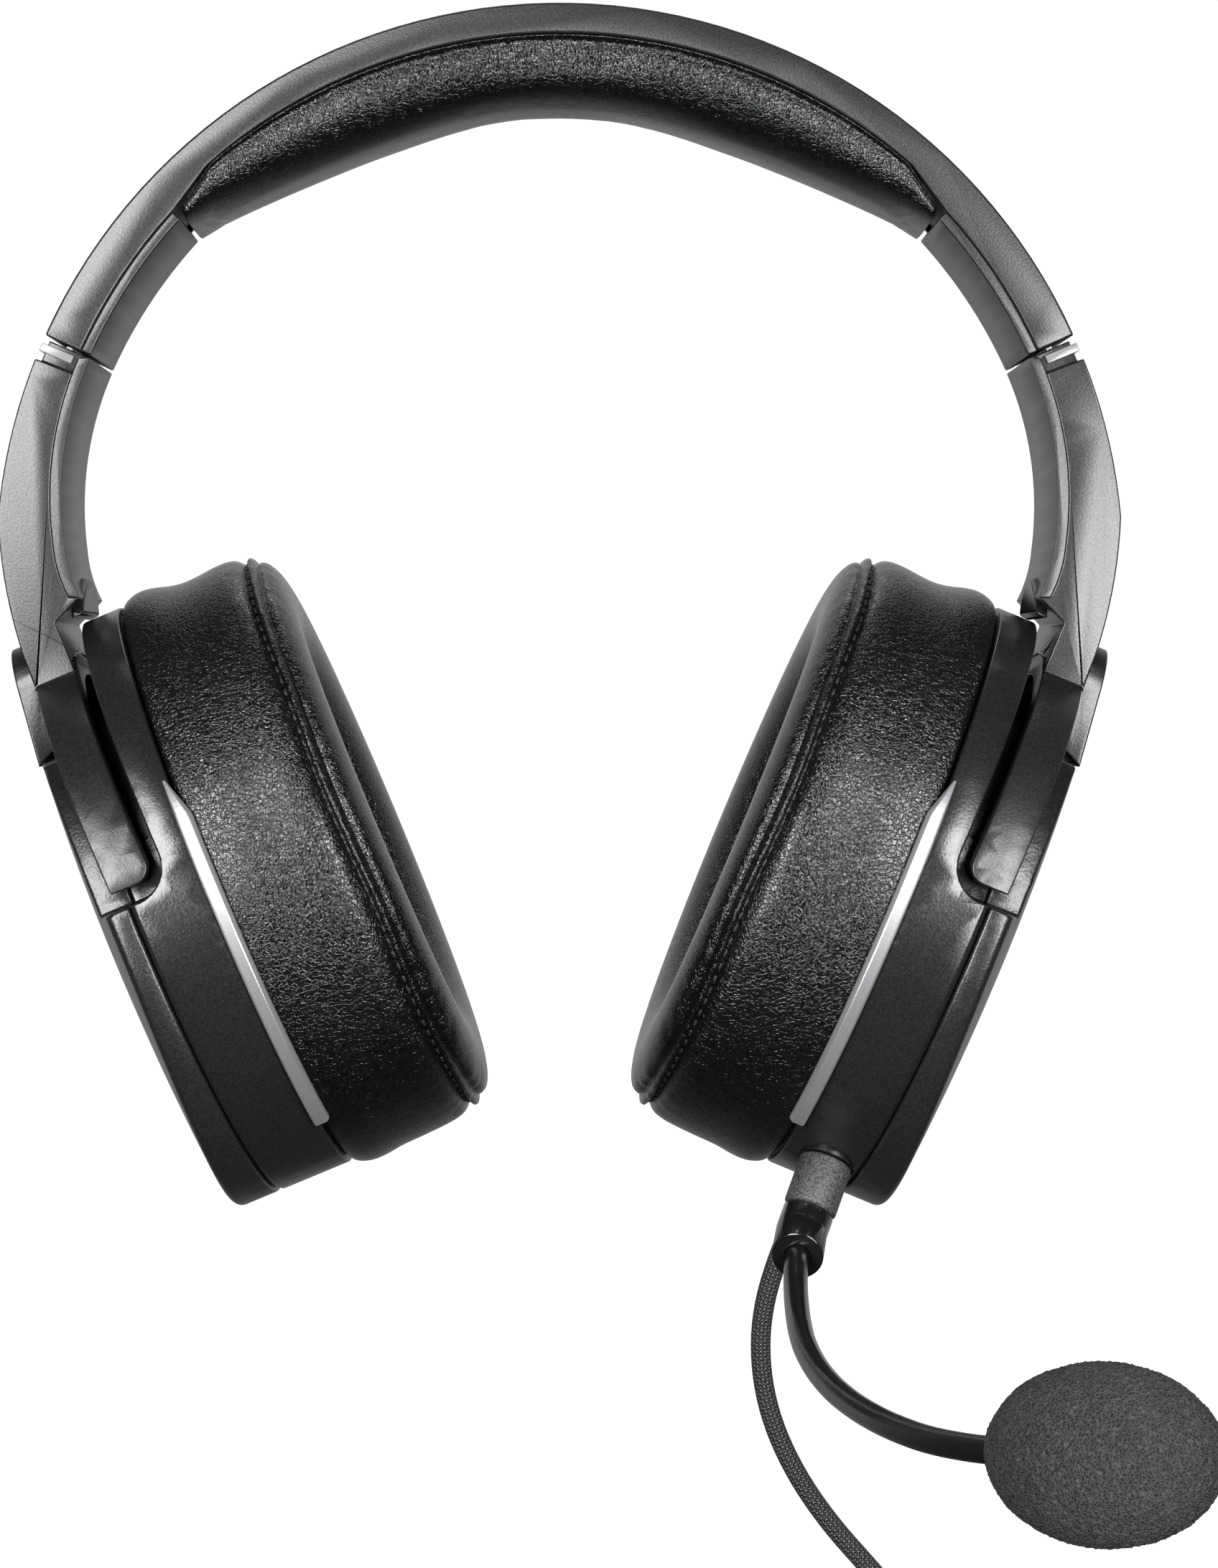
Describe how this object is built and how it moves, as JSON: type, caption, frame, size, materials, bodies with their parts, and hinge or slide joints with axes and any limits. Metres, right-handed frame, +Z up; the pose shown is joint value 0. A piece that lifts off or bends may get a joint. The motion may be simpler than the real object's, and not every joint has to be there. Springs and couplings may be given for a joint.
{
  "type": "gaming headset",
  "caption": "Over-ear headset with an arched headband, sliding arms, tilting ear cups, a detachable boom microphone and a braided cable.",
  "frame": {"origin": "lowest point of the head cushion's underside, where it rests on the top of the head", "axes": "+X the wearer's left, where the microphone and cable are; -Y the front; +Z up"},
  "size_m": [0.1906, 0.1892, 0.3792],
  "materials": {
    "shell_plastic": "dark charcoal, fine spark-eroded texture",
    "inner_plastic": "black, satin",
    "cup_plastic": "dark charcoal, fine texture",
    "cover_plastic": "dark charcoal, fine texture, glossy bevel",
    "trim_silver": "light, glossy",
    "accent_silver": "silver, satin face with a polished bevel",
    "cushion_leather": "black leatherette, grained",
    "pad_leather": "black leatherette, grained",
    "pad_cloth": "black mesh cloth",
    "spring_steel": "bright spring steel",
    "slider_steel": "brushed",
    "screw_steel": "dark zinc",
    "magnet_steel": "plated",
    "diaphragm_film": "thin clear film",
    "board_green": "solder mask",
    "sleeve_rubber": "dark, textured",
    "boom_plastic": "black, glossy",
    "boom_rubber": "black, glossy",
    "windscreen_foam": "dark grey open-cell foam",
    "capsule_metal": "plain",
    "gland_rubber": "black",
    "cable_braid": "black braid with grey flecks",
    "tie_cloth": "black hook-and-loop",
    "plug_plastic": "black",
    "contact_brass": "gilt"
  },
  "bodies": {
    "headband": {"headband_shell": "shell_plastic", "headband_inner_cover_left": "inner_plastic", "headband_inner_cover_right": "inner_plastic", "pad_carrier": "inner_plastic", "headband_cushion": "cushion_leather", "spring_band": "spring_steel", "slider_guide_left": "inner_plastic", "slider_guide_right": "inner_plastic", "detent_spring_left": "spring_steel", "detent_spring_right": "spring_steel", "headband_screws": "screw_steel"},
    "arm_left": {"arm_yoke_left": "shell_plastic", "arm_inner_cover_left": "inner_plastic", "arm_trim_band_left": "trim_silver", "arm_hub_cap_left": "inner_plastic", "slider_strip_left": "slider_steel", "arm_screws_left": "screw_steel", "tilt_pins_left": "screw_steel"},
    "arm_right": {"arm_yoke_right": "shell_plastic", "arm_inner_cover_right": "inner_plastic", "arm_trim_band_right": "trim_silver", "arm_hub_cap_right": "inner_plastic", "slider_strip_right": "slider_steel", "arm_screws_right": "screw_steel", "tilt_pins_right": "screw_steel"},
    "cup_left": {"cup_housing_left": "cup_plastic", "cup_cover_left": "cover_plastic", "accent_bars_left": "accent_silver", "ear_pad_left": "pad_leather", "pad_cloth_left": "pad_cloth", "baffle_left": "inner_plastic", "cup_screws_left": "screw_steel", "driver_frame_left": "inner_plastic", "driver_magnet_left": "magnet_steel", "driver_diaphragm_left": "diaphragm_film", "mic_socket": "inner_plastic", "circuit_board": "board_green", "cable_gland": "gland_rubber", "cable": "cable_braid", "cable_coil": "cable_braid", "cable_tail": "cable_braid", "cable_tie": "tie_cloth", "jack_plug_sleeve": "plug_plastic", "jack_plug_pin": "contact_brass"},
    "cup_right": {"cup_housing_right": "cup_plastic", "cup_cover_right": "cover_plastic", "accent_bars_right": "accent_silver", "ear_pad_right": "pad_leather", "pad_cloth_right": "pad_cloth", "baffle_right": "inner_plastic", "cup_screws_right": "screw_steel", "driver_frame_right": "inner_plastic", "driver_magnet_right": "magnet_steel", "driver_diaphragm_right": "diaphragm_film"},
    "mic_plug": {"mic_plug_sleeve": "sleeve_rubber", "mic_plug_pin": "contact_brass"},
    "mic_boom": {"mic_elbow": "boom_plastic", "mic_gooseneck": "boom_rubber", "mic_capsule": "capsule_metal", "mic_foam": "windscreen_foam"}
  },
  "joints": [
    {"name": "slide_left", "type": "slide", "parent": "headband", "child": "arm_left", "axis": [0.5807, 0, -0.8141], "range_m": [0, 0.024]},
    {"name": "slide_right", "type": "slide", "parent": "headband", "child": "arm_right", "axis": [-0.5807, 0, -0.8141], "range_m": [0, 0.024]},
    {"name": "tilt_left", "type": "hinge", "parent": "arm_left", "child": "cup_left", "pos_m": [0.07097, 0, -0.12615], "axis": [0, -1, 0], "range_deg": [-3, 12]},
    {"name": "tilt_right", "type": "hinge", "parent": "arm_right", "child": "cup_right", "pos_m": [-0.07097, 0, -0.12615], "axis": [0, 1, 0], "range_deg": [-3, 12]},
    {"name": "mic_unplug", "type": "slide", "parent": "cup_left", "child": "mic_plug", "axis": [-0.3488, -0.42, -0.8378], "range_m": [0, 0.012]},
    {"name": "mic_swivel", "type": "hinge", "parent": "mic_plug", "child": "mic_boom", "pos_m": [0.04181, -0.02291, -0.1876], "axis": [-0.3488, -0.42, -0.8378], "range_deg": [-30, 60]}
  ]
}
